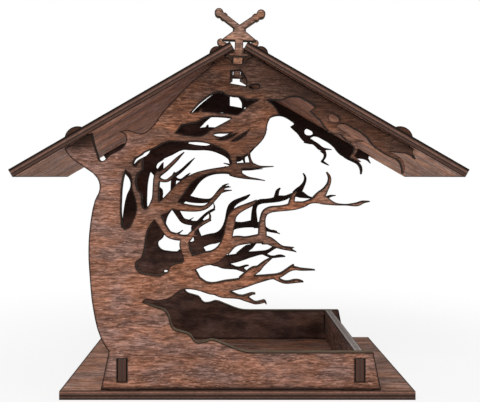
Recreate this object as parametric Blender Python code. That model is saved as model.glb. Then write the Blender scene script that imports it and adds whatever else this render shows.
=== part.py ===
"""Flat-pack bird feeder of laser-cut plywood.

Two upright end panels, each one sawn tree with a songbird on its branch, stand on a base
board. Two low walls close the seed tray between them, two roof boards lie on their tabs,
and two crossed clips lock the roof boards together along the ridge.
"""
import math

import bmesh
import bpy
from mathutils import Vector

MM = 0.001

# Board and fits
PLY = 5.3 * MM
FIT = 0.3 * MM
SLOT_PLAY = 0.3 * MM

# Base board
BASE_WIDTH = 214.0 * MM
BASE_DEPTH = 152.0 * MM

# Where the end panels stand, and the joints along their lower edge
PANEL_SETBACK = 2.0 * MM
BASE_TAB_WIDTH = 18.0 * MM
BASE_TAB_INSET = 1.1 * MM
BASE_TAB_RECESS = 0.3 * MM

# Seed tray
TRAY_WALL_HEIGHT = 22.5 * MM
WALL_LEFT_INSET = 37.5 * MM
WALL_RIGHT_INSET = 33.1 * MM
TENON_HEIGHT = 13.2 * MM
TENON_LIFT = 5.0 * MM

# Roof
ROOF_PITCH = math.radians(30.0)
ROOF_LENGTH = 153.4 * MM
ROOF_END_MARGIN = 3.0 * MM
ROOF_AXIS_X = 0.9 * MM
RIDGE_Z = 215.0 * MM
RIDGE_GAP = 10.8 * MM
RIDGE_TAB_AT = 10.1 * MM
RIDGE_TAB_WIDTH = 8.4 * MM
RIDGE_TAB_CROWN = 2.6 * MM
EAVE_TAB_AT = 108.7 * MM
EAVE_TAB_WIDTH = 12.8 * MM
EAVE_TAB_CROWN = 3.2 * MM

# Ridge clips
CLIP_NECK = 5.1 * MM
CLIP_HEAD_WIDTH = 12.8 * MM
CLIP_HEAD_DEPTH = 1.6 * MM
CLIP_WEDGE_WIDTH = 20.6 * MM
CLIP_WEDGE_EDGE = 1.1 * MM
CLIP_WAIST_WIDTH = 6.5 * MM
CLIP_WAIST_RISE = 6.3 * MM
CLIP_FORK_RISE = 9.4 * MM
CLIP_BALL_RADIUS = 2.7 * MM
CLIP_BALL_OUT = 12.6 * MM
CLIP_BALL_RISE = 17.0 * MM
CLIP_ARM_WIDTH = 3.7 * MM
CLIP_COLLAR_WIDTH = 4.6 * MM
CLIP_COLLAR_LENGTH = 2.0 * MM
CLIP_LEAN = math.radians(1.9)
REAR_CLIP_SETBACK = 99.0 * MM
NOTCH_PLAY = 1.4 * MM
NOTCH_DEPTH = 5.0 * MM
NOTCH_RADIUS = 4.0 * MM

# Heights and places that follow from the sizes above
TRAY_TOP = PLY + FIT + TRAY_WALL_HEIGHT
FRONT_Y = -BASE_DEPTH / 2 + PANEL_SETBACK + PLY / 2
BACK_Y = -FRONT_Y
ROOF_DEPTH = 2 * (BACK_Y + PLY / 2 + ROOF_END_MARGIN)
TENON_Z = PLY + FIT + TENON_LIFT + TENON_HEIGHT / 2
SLOPE_TAN = math.tan(ROOF_PITCH)
SLOPE_COS = math.cos(ROOF_PITCH)
SLOPE_SIN = math.sin(ROOF_PITCH)
APEX_Z = RIDGE_Z + RIDGE_GAP / 2 * SLOPE_TAN - PLY / SLOPE_COS
RIDGE_EDGE = RIDGE_GAP / 2 * SLOPE_COS - (RIDGE_Z - APEX_Z) * SLOPE_SIN
RIDGE_UNDER_Z = APEX_Z - RIDGE_EDGE * SLOPE_SIN
WALLS = {
    "left": (WALL_LEFT_INSET - BASE_WIDTH / 2, 1),
    "right": (BASE_WIDTH / 2 - WALL_RIGHT_INSET, -1),
}

# The sheet on which the tree is drawn, in millimetres: its width, tray edge and roof line
SHEET_WIDTH = 214.0
SHEET_TRAY_TOP = 28.1
SHEET_APEX_X = 0.9
SHEET_APEX_Z = 212.0
SHEET_SLOPE = math.tan(math.radians(30.0))
SCALE = BASE_WIDTH / SHEET_WIDTH

CORNER = "corner"
SMOOTH_STEPS = 3
LIMB_STEPS = 3
OVERCUT = 1.0 * MM
OVERCUT_STEP = 0.03 * MM
WELD = 0.00001

TRUNK = [
    (-82.5, 5, CORNER), (-77.6, 28.5, CORNER), (-82.3, 36.3), (-86.8, 53), (-89, 73),
    (-89.8, 90), (-88.8, 105), (-86, 119.5), (-83.1, 126.5), (-84.6, 133.2), (-92.5, 139.7),
    (-100.6, 145.6), (-105.4, 152.6, CORNER), (-100, 168, CORNER), (-88, 162.5, CORNER),
    (-87, 156.3), (-84.3, 147.5), (-82.2, 143.4), (-77, 147.2), (-70, 150.8),
    (-66, 152, CORNER), (-60, 150.5, CORNER), (-56.9, 148, CORNER), (-57.2, 138, CORNER),
    (-60.3, 135.2), (-60.3, 126.5), (-57.6, 123.4), (-56.7, 115.3), (-55, 115.2),
    (-51.6, 121, CORNER), (-46, 112, CORNER), (-49.8, 107.8), (-54, 101.5), (-55.6, 92),
    (-57.4, 85.2), (-61.2, 81.5), (-59.2, 76.8), (-53.5, 75), (-43.3, 75.6), (-40.3, 80.3),
    (-32.6, 82.6, CORNER), (-27, 80, CORNER), (-24.6, 77), (-21.5, 71.2, CORNER),
    (-20, 64.2, CORNER), (-28, 66), (-33.5, 65.5), (-40, 61), (-48, 59), (-55.4, 60, CORNER),
    (-57, 58.3, CORNER), (-60, 50, CORNER), (-60, 5, CORNER),
]

TRAY_WALL = [
    (-70, 5, CORNER), (-70, 50, CORNER), (-57, 58.3, CORNER), (-50, 55.8), (-43.5, 53.2),
    (-40.8, 48.5), (-38.9, 42.7), (-33, 40.3), (-28.7, 38.8), (-25, 34.4), (-20.5, 34.2),
    (-15.5, 35.6), (-8, 33.2), (0, 30), (6, 28.4), (12, 28.1, CORNER), (82.2, 28.1, CORNER),
    (86.8, 5, CORNER),
]

LEFT_BOUGH = [
    (-74, 146, CORNER), (-70.5, 150.6), (-67.7, 154), (-67.4, 158.6), (-71.4, 161.4, CORNER),
    (-66, 162.3), (-58.3, 160.2), (-52.5, 163.3), (-46, 172), (-37.5, 181.3), (-28, 190.8),
    (-20.5, 197), (-11.5, 204.8), (-6, 214, CORNER), (10, 214, CORNER), (12, 180.3, CORNER),
    (4, 181.8), (-5.5, 182.9), (-10.5, 185.2), (-20, 180.6), (-28.3, 172.6, CORNER),
    (-29, 166.3, CORNER), (-33.6, 165.7, CORNER), (-37.8, 159.8, CORNER), (-36, 155, CORNER),
    (-41.5, 155.2), (-50, 151.2), (-58.5, 146.8), (-62, 141, CORNER), (-70, 139, CORNER),
]

RIGHT_BOUGH = [
    (-8, 186, CORNER), (-8, 214, CORNER), (10, 214, CORNER), (111, 150, CORNER),
    (106.2, 150.3), (107.9, 144.5, CORNER), (104.4, 147.2), (97, 148.5), (91, 149.4),
    (86.3, 149.9), (81, 154.2), (78.6, 157.5), (70.3, 163.3), (63, 166), (59.8, 164.4, CORNER),
    (59.7, 159.8, CORNER), (54.4, 162.5), (52.4, 164.6), (49.8, 168.2), (46.5, 171.2),
    (43.9, 173.8, CORNER), (46.5, 175.4, CORNER), (46.9, 176.3), (45.2, 177.8), (41.2, 180.4),
    (37.3, 182), (32, 182), (26, 180), (22, 180.3), (14, 180.2), (6, 180.4, CORNER),
    (2, 182, CORNER),
]

BIRD = [
    (25.7, 171.5, CORNER), (22.4, 176.8), (16.2, 180.6), (9.2, 178.4), (0, 171.4), (-8, 166.7),
    (-17, 161.8), (-20.5, 159.2), (-27, 158.8), (-40, 161, CORNER), (-42, 155.4, CORNER),
    (-32, 154.9), (-21, 154.7), (-12.5, 152.1), (-6.2, 148.4), (-3.2, 144.5, CORNER),
    (0, 146, CORNER), (3.2, 145.8), (7.5, 148.8), (12.6, 153), (17.2, 159.3), (18.3, 165.6),
    (20.2, 169.9, CORNER),
]

# Limbs, from root to tip: across, up, and the width of the wood there
LIMBS = {
    "perch": [
        (-51, 114, 8.4), (-44, 116, 9), (-39.2, 121, 8.4), (-36, 124.8, 8), (-32.8, 128.6, 6.8),
        (-29, 132, 5.2), (-24, 135, 3.8), (-18, 136.9, 3.1), (-12, 137.8, 3.4),
        (-6, 138.2, 4.4), (-1, 138, 6), (3, 138.2, 4),
    ],
    "perch_upper_tip": [
        (-3, 139.6, 5), (3, 140.5, 4), (8.5, 140.7, 3.9), (13, 139.9, 2), (17, 140, 1.1),
        (22, 140.2, 0.6),
    ],
    "perch_lower_tip": [
        (-4, 137.3, 5), (-0.6, 136, 5), (3.2, 134.3, 3.2), (7, 133.2, 1.7), (12, 132.5, 1.2),
        (16.8, 131.6, 0.6),
    ],
    "perch_thorn": [(-3, 140.6, 1.6), (-5.8, 141.6, 1), (-8.3, 142.2, 0.5)],
    "near_leg": [(-2, 139, 5), (-1.9, 142.5, 3.6), (-2.4, 146, 5), (-2, 150, 7)],
    "far_leg": [(9, 141, 3), (8.1, 143.4, 1.8), (7.5, 145.4, 1.5), (7, 147.5, 2), (6.5, 151, 3)],
    "tail_bough": [
        (-34, 169, 8), (-28, 169.4, 6.6), (-24, 170.3, 6.2), (-20, 171.4, 4), (-15, 171.6, 3),
        (-9, 171.2, 2.6), (-4, 170.6, 2.6), (2, 169.5, 3),
    ],
    "tail_bud": [(-22.5, 172.5, 3), (-21.5, 175.2, 1.2)],
    "upright": [
        (-51.2, 111.6, 5.6), (-50.6, 114, 6), (-49.4, 121, 4.4), (-49.1, 128, 4), (-48.6, 133.5, 4),
        (-47.4, 137.4, 2.6),
    ],
    "upright_tip": [
        (-48.2, 134.8, 3.2), (-46, 136.4, 2.9), (-43.4, 138.2, 2.5), (-40.3, 141, 2.2),
        (-36.9, 144.3, 2), (-34.3, 146.9, 1.2), (-32.1, 148.9, 0.5),
    ],
    "upright_link": [
        (-48.6, 133, 3), (-45.2, 131.6, 2), (-42.3, 131.7, 2), (-40, 133.3, 2),
        (-37.8, 135.3, 1.5), (-35.6, 137, 0.6),
    ],
    "sickle": [
        (-41, 118.5, 7), (-36, 116.2, 5.4), (-30, 115.1, 4.4), (-24, 114.7, 3.6),
        (-19.6, 115.4, 2.8), (-16.6, 117.6, 2.8), (-13.6, 121.2, 3), (-11, 124.2, 3),
        (-8.8, 126.4, 2),
    ],
    "sickle_upper_tip": [(-10, 125.8, 2.6), (-7.4, 127.6, 1.4), (-4.8, 128.3, 0.6)],
    "sickle_lower_tip": [(-10, 125, 2.6), (-7, 125.5, 1.4), (-3.2, 125.8, 0.5)],
    "ring": [
        (-49.4, 111.6, 6), (-46.7, 107, 4.8), (-44.2, 102.8, 4.2), (-41.6, 99.3, 4),
        (-38, 97.9, 4.2), (-33.5, 97, 3.6), (-29, 97, 4),
    ],
    "ring_thorn": [(-36.5, 99, 1.8), (-34.8, 100.2, 1), (-33, 101.5, 0.5)],
    "ring_tip": [
        (-31, 95, 4.4), (-28.4, 98.2, 3.8), (-26, 101.4, 2.5), (-22.5, 104.6, 2.2),
        (-19, 106.8, 2.2), (-16, 108.2, 1.8),
    ],
    "ring_hook": [(-16.9, 107.6, 1.6), (-16.4, 110, 1.3), (-17.2, 113, 0.5)],
    "ring_spur": [(-28, 98.6, 2.6), (-25.7, 98.6, 2), (-23.6, 97.9, 0.8)],
    "ring_post": [
        (-31, 98, 4), (-32, 93.5, 6), (-31.2, 89.5, 6), (-29.9, 86, 6.3), (-29, 80, 6),
    ],
    "middle_bough": [
        (-34, 75, 8), (-28.5, 81, 9), (-21, 84.1, 8.4), (-14.6, 85.3, 8.4), (-10, 88.4, 7.8),
        (-7, 93.4, 6.8), (-5.4, 99.5, 5.8), (-4.2, 105.5, 6), (-2.9, 110.4, 5.2),
        (0.4, 113.6, 4.2), (4.6, 115.7, 3.4), (8.6, 117.5, 2.8), (12, 119.8, 0.9),
    ],
    "middle_bar": [
        (-8, 89, 7), (-4, 93.6, 7), (0, 95.2, 6), (5, 95.5, 4.6), (10, 96.1, 5), (14.6, 96.6, 6),
    ],
    "far_bough": [
        (14.8, 94.4, 5), (15.2, 99, 5.4), (15.1, 104, 4.4), (15.4, 108.6, 3.6),
        (16.9, 112.4, 3.8), (20.4, 114.2, 3.9), (25, 114.7, 3.6), (30, 115.3, 4),
        (35, 116.5, 5), (40, 117.3, 3.6), (44, 119, 2.8), (48.4, 120, 4.4), (52.5, 119.8, 5.6),
        (56.4, 118.3, 3.2), (60.4, 117.3, 1.5), (66, 117, 1), (70, 117, 1.9), (73, 117.4, 2.3),
        (76.2, 118.7, 1.7), (80, 119.1, 0.7),
    ],
    "far_spur": [(32.4, 116, 4), (33.2, 120, 3.2), (34, 122.8, 2.6), (36, 125, 1)],
    "far_hook": [
        (47.4, 120, 5), (50.6, 122.8, 5.4), (53.2, 126, 3.4), (55.1, 129.2, 2.2),
        (55.9, 132, 1.8), (55.6, 134.4, 1.4), (54.2, 136.8, 0.7)],
    "bar_tip": [
        (15, 95.8, 5.6), (18.8, 95.4, 5), (22, 93.7, 4.4), (26, 91.6, 2.7), (30, 90.3, 1.7),
        (33.5, 89.4, 1.1), (35.7, 88.5, 0.5),
    ],
    "bar_tip_spur": [(28.5, 91, 1.6), (31.2, 90.9, 1.1), (33.4, 90.5, 0.5)],
    "lower_bough": [
        (-44, 70, 12), (-34, 71.5, 10), (-26, 70.4, 8.2), (-20, 67.5, 6.6), (-14, 66.3, 7.4),
        (-7, 67.8, 7.2), (0, 69, 6.6), (5, 70.3, 6.2), (10, 71.6, 5.2), (15, 72.5, 4),
        (20, 73.4, 3), (24, 73.8, 3), (27.4, 75.2, 2.4), (31, 77.6, 2.4), (34.4, 78.6, 2.2),
        (38.4, 78, 1.6), (43, 77.8, 1.1), (47, 77.6, 0.5),
    ],
    "lower_spur": [(30.6, 77.6, 2), (32.7, 79.5, 1.3), (34.4, 80.9, 0.5)],
    "lower_fork": [
        (21.4, 73.6, 2.4), (24.6, 71.9, 2.1), (28, 70.4, 1.8), (31.2, 70.2, 1.7),
        (34.6, 70.8, 2.1), (37.4, 70.9, 1.8), (40, 70.5, 0.6),
    ],
    "rising_twig": [
        (3, 71, 6), (6.8, 74.6, 5.4), (10, 77.2, 5), (12.8, 78.4, 3.6), (15, 80.6, 2.6),
        (18, 83, 1.9), (21.4, 85.2, 0.6),
    ],
    "hanging_twig": [
        (-15, 66.4, 6), (-9.6, 63.6, 5.2), (-4.4, 62.6, 4.2), (0.8, 61.3, 2.4),
        (4.8, 60.5, 3.4), (8, 58.9, 2.3), (11, 57.7, 1.6), (14.4, 58.2, 1.7), (16.8, 58.9, 1.6),
    ],
    "hanging_hook": [(15.4, 58.6, 1.4), (16.8, 58.4, 1.4), (17.6, 57, 0.6)],
    "hanging_fork": [(3.4, 61, 2.4), (6.4, 62.2, 1.9), (8.8, 63.2, 1.3), (11, 63.3, 0.7)],
    "right_twig": [
        (55.5, 163.4, 5), (59.7, 162, 4.3), (62.6, 160.9, 2.8), (65.3, 159, 3.2),
        (67.9, 156.7, 3.3), (70.9, 155.9, 2.2), (73.8, 155.8, 1.2), (76.8, 155.5, 0.5),
    ],
    "right_drop": [
        (69.4, 155.4, 4), (71.4, 152.6, 2.2), (71.6, 150, 1.8), (70.2, 147.4, 1.4),
        (69.2, 146.4, 2),
    ],
    "right_drop_tip": [(68.7, 146.5, 1.8), (71.5, 144.8, 1.4), (74.6, 143, 0.5)],
    "right_tip": [
        (86, 152.6, 4), (89.4, 149.4, 3), (93.4, 147, 2.2), (97.2, 145.1, 2.1),
        (99.6, 142.2, 2), (100.4, 138.8, 1.5), (100.1, 135.8, 0.6),
    ],
}

# Windows sawn right through the tree
WINDOWS = {
    "trunk_slit": [
        (-67.4, 138, CORNER), (-64.4, 134.5), (-63.8, 127), (-62, 121), (-61, 115.5),
        (-62.6, 109), (-67.9, 102.5), (-69.8, 109), (-70, 119), (-69.1, 131),
    ],
    "bough_slit": [
        (-54, 149.4, CORNER), (-58.4, 146.6), (-62.2, 143.6), (-62, 140.4),
        (-60, 142.4), (-57.8, 145), (-53.4, 147.8, CORNER),
    ],
    "apex_window": [
        (-4, 197.8, CORNER), (1.6, 198.3, CORNER), (5.2, 193), (5.3, 188.6, CORNER),
        (0, 189.6), (-4, 190.3, CORNER),
    ],
    "knot_hole": [(7.2, 188.3), (9.4, 189.3), (13.4, 188.8), (10, 187.3)],
    "bough_hole": [
        (55.1, 169.5), (55.7, 171.2), (57, 172), (59, 171.4), (62.1, 168.6), (61, 167.4),
        (57.7, 166.9), (55.7, 167.8),
    ],
    "tail_feather": [
        (-14.8, 159.4, CORNER), (-11.6, 160.1), (-7, 160.1), (-2.6, 160.8, CORNER),
        (-6.8, 159.1), (-10.6, 158.2),
    ],
    "wing_feather": [
        (-12.4, 156.5, CORNER), (-6, 158.2), (0.6, 160.7, CORNER), (-4.6, 157.6), (-8.6, 156.3),
    ],
    "wing_edge": [
        (-4, 155.4, CORNER), (2.2, 158.9), (7.6, 162.6, CORNER), (3.4, 158.2), (-0.6, 155.9),
    ],
}


def roof_under(x):
    """Height of the roof's lower face over a place across the feeder."""
    return APEX_Z - abs(x - ROOF_AXIS_X) * SLOPE_TAN


def on_panel(x, z):
    """A point of the drawn sheet, carried to the panel as it is sized."""
    place = x * SCALE
    if z <= SHEET_TRAY_TOP:
        return Vector((place, z * TRAY_TOP / SHEET_TRAY_TOP))
    sheet_rise = SHEET_APEX_Z - abs(x - SHEET_APEX_X) * SHEET_SLOPE - SHEET_TRAY_TOP
    rise = roof_under(place) - TRAY_TOP
    return Vector((place, TRAY_TOP + (z - SHEET_TRAY_TOP) * rise / sheet_rise))


def on_slope(side, along, out):
    """A point by its distance down the slope and out from the roof's lower face."""
    across = ROOF_AXIS_X + side * (along * SLOPE_COS + out * SLOPE_SIN)
    return Vector((across, APEX_Z - along * SLOPE_SIN + out * SLOPE_COS))


def arc(start, end, crown, steps):
    """Points of a circular arc from start to end, its crown to the left if positive."""
    half = (end - start) / 2
    left = Vector((-half.y, half.x)).normalized()
    turn = 4 * math.atan(crown / half.length)
    radius = half.length / math.sin(turn / 2)
    centre = start + half - left * radius * math.cos(turn / 2)
    points = []
    for step in range(steps + 1):
        angle = turn * (0.5 - step / steps)
        reach = left * math.cos(angle) - half.normalized() * math.sin(angle)
        points.append(centre + reach * radius)
    return points


def new_collection(name):
    collection = bpy.data.collections.new(name)
    bpy.context.scene.collection.children.link(collection)
    return collection


def solid_from(curve_object, collection):
    """The curve as a closed mesh, its caps welded, in the curve's place."""
    bpy.context.view_layer.update()
    graph = bpy.context.evaluated_depsgraph_get()
    mesh = bpy.data.meshes.new_from_object(curve_object.evaluated_get(graph))
    name = curve_object.name
    place = curve_object.matrix_world.copy()
    bpy.data.objects.remove(curve_object)
    work = bmesh.new()
    work.from_mesh(mesh)
    bmesh.ops.remove_doubles(work, verts=work.verts, dist=WELD)
    bmesh.ops.recalc_face_normals(work, faces=work.faces)
    work.to_mesh(mesh)
    work.free()
    solid = bpy.data.objects.new(name, mesh)
    collection.objects.link(solid)
    solid.matrix_world = place
    return solid


def flat_curve(name, thickness, collection):
    curve = bpy.data.curves.new(name, "CURVE")
    curve.dimensions = "2D"
    curve.fill_mode = "BOTH"
    curve.extrude = thickness / 2
    curve.resolution_u = SMOOTH_STEPS
    holder = bpy.data.objects.new(name, curve)
    collection.objects.link(holder)
    return holder


def straight_board(name, points, thickness, collection):
    """A board with straight edges between the points."""
    holder = flat_curve(name, thickness, collection)
    spline = holder.data.splines.new("POLY")
    spline.points.add(len(points) - 1)
    for knot, point in zip(spline.points, points):
        knot.co = (point.x, point.y, 0, 1)
    spline.use_cyclic_u = True
    return solid_from(holder, collection)


def sawn_board(name, outline, thickness, collection):
    """A board with a flowing edge through the drawn points, sharp at its corners."""
    holder = flat_curve(name, thickness, collection)
    spline = holder.data.splines.new("BEZIER")
    spline.bezier_points.add(len(outline) - 1)
    for knot, drawn in zip(spline.bezier_points, outline):
        place = on_panel(drawn[0], drawn[1])
        knot.co = (place.x, place.y, 0)
        handle = "VECTOR" if drawn[-1] == CORNER else "AUTO"
        knot.handle_left_type = handle
        knot.handle_right_type = handle
    spline.use_cyclic_u = True
    return solid_from(holder, collection)


def flowing(points):
    """Points of a smooth line through the given ones, with the width carried along."""
    ends = [points[0] * 2 - points[1]] + points + [points[-1] * 2 - points[-2]]
    line = []
    for before, start, end, after in zip(ends, ends[1:], ends[2:], ends[3:]):
        for step in range(LIMB_STEPS):
            t = step / LIMB_STEPS
            bend = (2 * before - 5 * start + 4 * end - after) * t * t
            twist = (3 * start - before - 3 * end + after) * t ** 3
            line.append(start + ((end - before) * t + bend + twist) / 2)
    return line + [points[-1]]


def limb(name, drawn, thickness, collection):
    """A branch: a smooth centre line with the wood's width across it."""
    knots = []
    for x, z, width in drawn:
        place = on_panel(x, z)
        knots.append(Vector((place.x, place.y, width * SCALE)))
    line = flowing(knots)
    upper = []
    lower = []
    for index, knot in enumerate(line):
        ahead = line[min(index + 1, len(line) - 1)]
        behind = line[max(index - 1, 0)]
        run = (ahead - behind).xy.normalized()
        offset = Vector((-run.y, run.x)) * knot.z / 2
        upper.append(knot.xy + offset)
        lower.append(knot.xy - offset)
    return straight_board(name, lower + upper[::-1], thickness, collection)


def roof_tabs():
    """Each tab through a roof board: side, place down the board, width and crown."""
    tabs = []
    for side in (-1, 1):
        tabs.append((side, RIDGE_EDGE + RIDGE_TAB_AT, RIDGE_TAB_WIDTH, RIDGE_TAB_CROWN))
        tabs.append((side, RIDGE_EDGE + EAVE_TAB_AT, EAVE_TAB_WIDTH, EAVE_TAB_CROWN))
    return tabs


def base_tab_centres():
    return [x + inward * BASE_TAB_INSET for x, inward in WALLS.values()]


def notch_edge():
    """The round-cornered notch at the apex, clear of the clip's head, right to left."""
    half = CLIP_HEAD_WIDTH / 2 + NOTCH_PLAY
    brim = roof_under(ROOF_AXIS_X + half) - FIT / SLOPE_COS
    floor = brim - NOTCH_DEPTH
    crown = -NOTCH_RADIUS * (1 - math.sqrt(0.5))
    edges = []
    for side in (1, -1):
        outer = ROOF_AXIS_X + side * half
        start = Vector((outer, floor + NOTCH_RADIUS))
        end = Vector((outer - side * NOTCH_RADIUS, floor))
        round_corner = arc(start, end, crown * side, 5)
        edges.append([Vector((outer, brim))] + round_corner)
    return edges[0] + edges[1][::-1]


def blank_outline():
    """The panel's blank: tabs below, tabs through the roof, and the notch for the clip."""
    half = BASE_WIDTH / 2 + PLY
    foot = PLY + FIT
    points = [Vector((-half, foot))]
    for centre in base_tab_centres():
        for x, z in ((-1, foot), (-1, BASE_TAB_RECESS), (1, BASE_TAB_RECESS), (1, foot)):
            points.append(Vector((centre + x * BASE_TAB_WIDTH / 2, z)))
    points.append(Vector((half, foot)))
    top = []
    for side in (1, -1):
        edge = [Vector((side * half, roof_under(side * half) - FIT / SLOPE_COS))]
        for tab_side, centre, width, crown in sorted(roof_tabs(), key=lambda tab: -tab[1]):
            if tab_side != side:
                continue
            outer = centre + width / 2
            inner = centre - width / 2
            low = on_slope(side, outer, PLY)
            high = on_slope(side, inner, PLY)
            edge.append(on_slope(side, outer, -FIT))
            edge += arc(low, high, -side * crown, 10)
            edge.append(on_slope(side, inner, -FIT))
        top.append(edge)
    return points + top[0] + notch_edge() + top[1][::-1]


def tab_pads(collection, thickness):
    """Wood under each tab, so that the bough beside it carries it."""
    pads = []
    for number, (side, centre, width, crown) in enumerate(roof_tabs()):
        reach = PLY + crown + OVERCUT
        half = width / 2 + FIT
        corners = [on_slope(side, centre + a * half, out)
                   for a, out in ((-1, -PLY / 2), (1, -PLY / 2), (1, reach), (-1, reach))]
        if side > 0:
            corners.reverse()
        pads.append(straight_board(f"tab_pad_{number}", corners, thickness(), collection))
    return pads


def join_or_trim(target, operation, tools=None, tool=None):
    """One exact Boolean on the target, applied at once."""
    modifier = target.modifiers.new(operation.lower(), "BOOLEAN")
    modifier.operation = operation
    modifier.solver = "EXACT"
    if tools:
        modifier.operand_type = "COLLECTION"
        modifier.collection = tools
    else:
        modifier.object = tool
    bpy.context.view_layer.update()
    graph = bpy.context.evaluated_depsgraph_get()
    mesh = bpy.data.meshes.new_from_object(target.evaluated_get(graph))
    target.modifiers.clear()
    target.data = mesh


def clear_collection(collection):
    for item in list(collection.objects):
        bpy.data.objects.remove(item)
    bpy.data.collections.remove(collection)


def fretwork_mesh():
    """One end panel, sawn from its blank: the tree, the bird, the slots and the tabs."""
    growth = new_collection("growth")
    depths = iter(range(1000))

    def thickness():
        return PLY + OVERCUT + next(depths) * OVERCUT_STEP

    outlines = {"tray_wall": TRAY_WALL, "left_bough": LEFT_BOUGH, "right_bough": RIGHT_BOUGH,
                "bird": BIRD}
    for name, outline in outlines.items():
        sawn_board(name, outline, thickness(), growth)
    for name, drawn in LIMBS.items():
        limb(name, drawn, thickness(), growth)
    tab_pads(growth, thickness)
    work = new_collection("panel_work")
    tree = sawn_board("trunk", TRUNK, thickness(), work)
    join_or_trim(tree, "UNION", tools=growth)
    panel = straight_board("panel", blank_outline(), PLY, work)
    join_or_trim(panel, "INTERSECT", tool=tree)
    cuts = new_collection("panel_cuts")
    for name, outline in WINDOWS.items():
        sawn_board(name, outline, PLY + OVERCUT, cuts)
    slot_half = PLY / 2 + SLOT_PLAY
    slot_reach = TENON_HEIGHT / 2 + SLOT_PLAY
    for side, (x, _) in WALLS.items():
        corners = [Vector((x + a * slot_half, TENON_Z + b * slot_reach))
                   for a, b in ((-1, -1), (1, -1), (1, 1), (-1, 1))]
        straight_board(f"tenon_slot_{side}", corners, PLY + OVERCUT, cuts)
    join_or_trim(panel, "DIFFERENCE", tools=cuts)
    mesh = panel.data
    for collection in (growth, work, cuts):
        clear_collection(collection)
    tidy = bmesh.new()
    tidy.from_mesh(mesh)
    bmesh.ops.remove_doubles(tidy, verts=tidy.verts, dist=WELD)
    bmesh.ops.dissolve_degenerate(tidy, edges=tidy.edges, dist=WELD)
    tidy.to_mesh(mesh)
    tidy.free()
    return mesh


def wood(name, colour, roughness):
    """A stained plywood finish."""
    material = bpy.data.materials.new(name)
    material.use_nodes = True
    shader = material.node_tree.nodes["Principled BSDF"]
    shader.inputs["Base Color"].default_value = (*colour, 1)
    shader.inputs["Roughness"].default_value = roughness
    shader.inputs["Metallic"].default_value = 0
    return material


def dress(item, material):
    item.data.materials.clear()
    item.data.materials.append(material)


def box(name, size, collection):
    mesh = bpy.data.meshes.new(name)
    work = bmesh.new()
    bmesh.ops.create_cube(work, size=1)
    bmesh.ops.scale(work, vec=size, verts=work.verts)
    work.to_mesh(mesh)
    work.free()
    item = bpy.data.objects.new(name, mesh)
    collection.objects.link(item)
    return item


def cut(target, cutter):
    """A live cut; the cutter stays as a hidden wire shape."""
    cutter.hide_render = True
    cutter.display_type = "WIRE"
    modifier = target.modifiers.new(cutter.name, "BOOLEAN")
    modifier.operation = "DIFFERENCE"
    modifier.solver = "EXACT"
    modifier.object = cutter


def make_base(parts, cutters):
    """The base board, slotted for the panels' lower tabs."""
    base = box("base_plate", (BASE_WIDTH, BASE_DEPTH, PLY), parts)
    base.location = (0, 0, PLY / 2)
    for end, y in (("front", FRONT_Y), ("back", BACK_Y)):
        for number, x in enumerate(base_tab_centres()):
            size = (BASE_TAB_WIDTH + 2 * SLOT_PLAY, PLY + 2 * SLOT_PLAY, PLY + OVERCUT)
            slot = box(f"base_slot_{end}_{number}", size, cutters)
            slot.location = (x, y, PLY / 2)
            cut(base, slot)
    dress(base, wood("stained_ply_base", (0.30, 0.17, 0.12), 0.62))


def make_panels(parts):
    """Front and back panels, both sawn to the same drawing."""
    mesh = fretwork_mesh()
    finish = wood("stained_ply_panels", (0.27, 0.13, 0.085), 0.58)
    for name, y in (("front_panel", FRONT_Y), ("back_panel", BACK_Y)):
        panel = bpy.data.objects.new(name, mesh)
        parts.objects.link(panel)
        panel.rotation_euler = (math.radians(90), 0, 0)
        panel.location = (0, y, 0)
        dress(panel, finish)


def make_walls(parts):
    """The two low tray walls, tenoned through both panels."""
    inner_half = BACK_Y - PLY / 2 - FIT
    outer_half = BACK_Y + PLY / 2
    foot = PLY + FIT
    finish = wood("stained_ply_walls", (0.26, 0.14, 0.095), 0.6)
    for side, (x, _) in WALLS.items():
        low = TENON_Z - TENON_HEIGHT / 2
        high = TENON_Z + TENON_HEIGHT / 2
        quarter = [(inner_half, foot), (inner_half, low), (outer_half, low),
                   (outer_half, high), (inner_half, high), (inner_half, TRAY_TOP)]
        points = [Vector((y, z)) for y, z in quarter]
        points += [Vector((-y, z)) for y, z in reversed(quarter)]
        wall = straight_board(f"side_wall_{side}", points, PLY, parts)
        wall.rotation_euler = (math.radians(90), 0, math.radians(90))
        wall.location = (x, 0, 0)
        dress(wall, finish)


def make_roof(parts, cutters):
    """Two roof boards, slotted for the panels' upper tabs."""
    finish = wood("stained_ply_roof", (0.25, 0.135, 0.095), 0.6)
    for side, name in ((-1, "roof_left"), (1, "roof_right")):
        board = box(name, (ROOF_LENGTH, ROOF_DEPTH, PLY), parts)
        middle = on_slope(side, RIDGE_EDGE + ROOF_LENGTH / 2, PLY / 2)
        board.location = (middle.x, 0, middle.y)
        board.rotation_euler = (0, side * ROOF_PITCH, 0)
        for tab_side, centre, width, _ in roof_tabs():
            if tab_side != side:
                continue
            for end, y in (("front", FRONT_Y), ("back", BACK_Y)):
                size = (width + 2 * SLOT_PLAY, PLY + 2 * SLOT_PLAY, PLY + OVERCUT)
                slot = box(f"{name}_slot_{end}_{round(width / MM)}", size, cutters)
                place = on_slope(side, centre, PLY / 2)
                slot.location = (place.x, y, place.y)
                slot.rotation_euler = board.rotation_euler
                cut(board, slot)
        dress(board, finish)


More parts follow.
